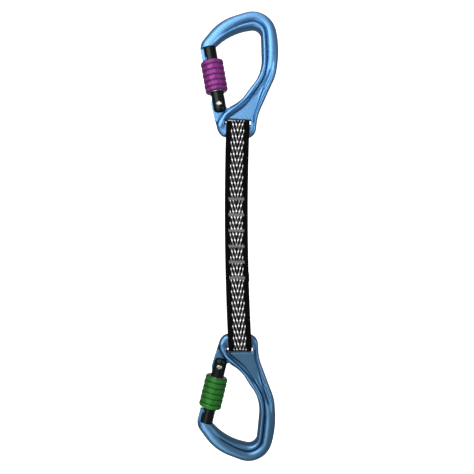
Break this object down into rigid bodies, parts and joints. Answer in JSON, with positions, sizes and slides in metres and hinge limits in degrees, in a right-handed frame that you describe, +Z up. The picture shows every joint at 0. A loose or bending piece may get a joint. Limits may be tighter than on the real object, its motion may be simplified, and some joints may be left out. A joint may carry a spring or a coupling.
{
  "type": "climbing quickdraw",
  "caption": "Climbing quickdraw: two screw-lock carabiners, each with a captive webbing eye, joined by a short sewn tape sling.",
  "frame": {"origin": "inner top of the upper carabiner's basket, where it hangs on a bolt hanger", "axes": "+Z up along the hanging quickdraw, +X towards the carabiners' spines, front faces -Y"},
  "size_m": [0.0632, 0.0176, 0.3498],
  "materials": {
    "blue_anodised": "anodised satin",
    "steel_blue_anodised": "anodised satin",
    "dark_anodised": "anodised gloss",
    "purple_anodised": "anodised satin",
    "green_anodised": "anodised satin",
    "bright_steel": "satin",
    "black_webbing": "woven",
    "grey_thread": "stitched"
  },
  "bodies": {
    "top_carabiner": {"top_carabiner_frame": "blue_anodised"},
    "top_gate": {"top_gate": "dark_anodised", "top_hinge_rivet": "bright_steel", "top_gate_spring": "bright_steel"},
    "top_plunger": {"top_spring_plunger": "bright_steel"},
    "top_sleeve_travel": {"top_sleeve_ring": "bright_steel"},
    "top_sleeve": {"top_locking_sleeve": "purple_anodised"},
    "bottom_carabiner": {"bottom_carabiner_frame": "steel_blue_anodised"},
    "bottom_gate": {"bottom_gate": "dark_anodised", "bottom_hinge_rivet": "bright_steel", "bottom_gate_spring": "bright_steel"},
    "bottom_plunger": {"bottom_spring_plunger": "bright_steel"},
    "bottom_sleeve_travel": {"bottom_sleeve_ring": "bright_steel"},
    "bottom_sleeve": {"bottom_locking_sleeve": "green_anodised"},
    "sling": {"sling_tape": "black_webbing", "bar_tack_1": "grey_thread", "bar_tack_2": "grey_thread", "bar_tack_3": "grey_thread", "bar_tack_4": "grey_thread", "bar_tack_5": "grey_thread", "bar_tack_6": "grey_thread"}
  },
  "joints": [
    {"name": "top_gate_swing", "type": "hinge", "parent": "top_carabiner", "child": "top_gate", "pos_m": [-0.02523, 0, -0.05848], "axis": [0, -1, 0], "range_deg": [-28, 0], "stiffness_Nm_per_rad": 0.06, "springref_deg": 20.05},
    {"name": "top_plunger_travel", "type": "slide", "parent": "top_gate", "child": "top_plunger", "axis": [-0.1702, 0, 0.9854], "range_m": [0, 0.00116], "deforming": ["top_gate_spring"]},
    {"name": "top_sleeve_slide", "type": "slide", "parent": "top_gate", "child": "top_sleeve_travel", "axis": [-0.1702, 0, 0.9854], "range_m": [-0.0045, 0.008]},
    {"name": "top_sleeve_turn", "type": "hinge", "parent": "top_sleeve_travel", "child": "top_sleeve", "pos_m": [-0.02523, 0, -0.05848], "axis": [-0.1702, 0, 0.9854], "range_deg": [-542, 962]},
    {"name": "bottom_gate_swing", "type": "hinge", "parent": "bottom_carabiner", "child": "bottom_gate", "pos_m": [-0.02487, 0, -0.26179], "axis": [0, 1, 0], "range_deg": [-28, 0], "stiffness_Nm_per_rad": 0.06, "springref_deg": 20.05},
    {"name": "bottom_plunger_travel", "type": "slide", "parent": "bottom_gate", "child": "bottom_plunger", "axis": [-0.2334, 0, -0.9724], "range_m": [0, 0.00116], "deforming": ["bottom_gate_spring"]},
    {"name": "bottom_sleeve_slide", "type": "slide", "parent": "bottom_gate", "child": "bottom_sleeve_travel", "axis": [-0.2334, 0, -0.9724], "range_m": [-0.0032, 0.0093]},
    {"name": "bottom_sleeve_turn", "type": "hinge", "parent": "bottom_sleeve_travel", "child": "bottom_sleeve", "pos_m": [-0.02487, 0, -0.26179], "axis": [-0.2334, 0, -0.9724], "range_deg": [-386, 1118]},
    {"name": "top_sling_swing", "type": "hinge", "parent": "top_carabiner", "child": "sling", "pos_m": [-0.01075, 0, -0.0789], "axis": [0.9981, 0, -0.061], "range_deg": [-85, 85]},
    {"name": "bottom_sling_swing", "type": "hinge", "parent": "sling", "child": "bottom_carabiner", "pos_m": [-0.0091, 0, -0.24235], "axis": [1, 0, -0.0035], "range_deg": [-85, 85]}
  ],
  "couplings": [
    {"joint": "top_plunger_travel", "follows": "top_gate_swing", "m_per_rad": -0.002353},
    {"joint": "top_sleeve_turn", "follows": "top_sleeve_slide", "rad_per_m": 2094.4},
    {"joint": "bottom_plunger_travel", "follows": "bottom_gate_swing", "m_per_rad": -0.002353},
    {"joint": "bottom_sleeve_turn", "follows": "bottom_sleeve_slide", "rad_per_m": 2094.4}
  ]
}
